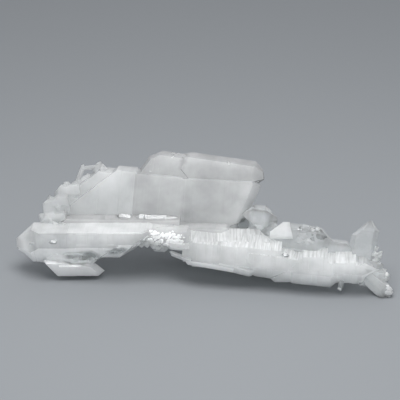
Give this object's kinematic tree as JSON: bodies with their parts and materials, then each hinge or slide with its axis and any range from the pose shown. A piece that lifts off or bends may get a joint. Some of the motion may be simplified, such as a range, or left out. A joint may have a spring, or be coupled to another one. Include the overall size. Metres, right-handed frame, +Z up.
{
  "type": "faden quartz crystal",
  "caption": "Flat row of intergrown colourless quartz crystals, leaning back with a tall tabular blade, resting on three crystal tips.",
  "frame": {"origin": "centre of the specimen's box, on the table that it rests on", "axes": "+X along the row of crystals, from the stout prism to the bunched small crystals; +Y to the back of the plate; +Z up"},
  "size_m": [0.0804, 0.0266, 0.0232],
  "materials": {
    "clear_quartz": "clear quartz with milky veils, striated crystal faces and frosted patches"
  },
  "bodies": {
    "root": {"faden_quartz_cluster": "clear_quartz"}
  },
  "joints": []
}
